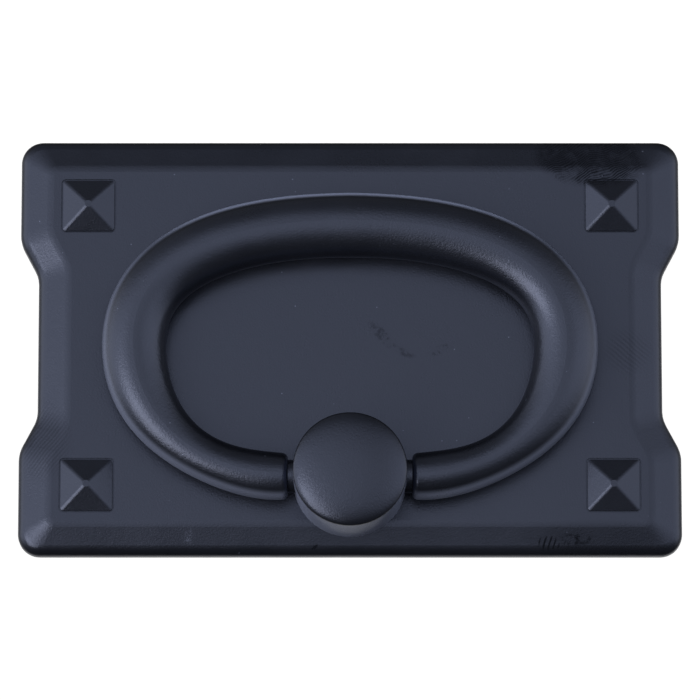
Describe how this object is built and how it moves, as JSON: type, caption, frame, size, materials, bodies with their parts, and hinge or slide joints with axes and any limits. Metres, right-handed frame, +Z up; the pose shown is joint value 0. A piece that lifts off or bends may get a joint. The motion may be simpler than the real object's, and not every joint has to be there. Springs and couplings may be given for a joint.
{
  "type": "drawer ring pull",
  "caption": "Mission-style drawer ring pull: bevelled rectangular backplate with waisted sides and corner pyramids, a round domed post, and a tapered oval ring that swings on it.",
  "frame": {"origin": "mouth of the fixing screw's tapped hole, on the plane where the back of the plate meets the drawer front", "axes": "as mounted: +Z up, the front faces -Y, +X along the width of the plate; the ring hangs down from the post at the top"},
  "size_m": [0.0698, 0.012, 0.0444],
  "materials": {
    "satin_black": "satin"
  },
  "bodies": {
    "mounting": {"backplate": "satin_black", "post": "satin_black"},
    "swing": {"ring": "satin_black"}
  },
  "joints": [
    {"name": "ring_swing", "type": "hinge", "parent": "mounting", "child": "swing", "pos_m": [0, -0.0059, 0], "axis": [-1, 0, 0], "range_deg": [0, 180]}
  ]
}
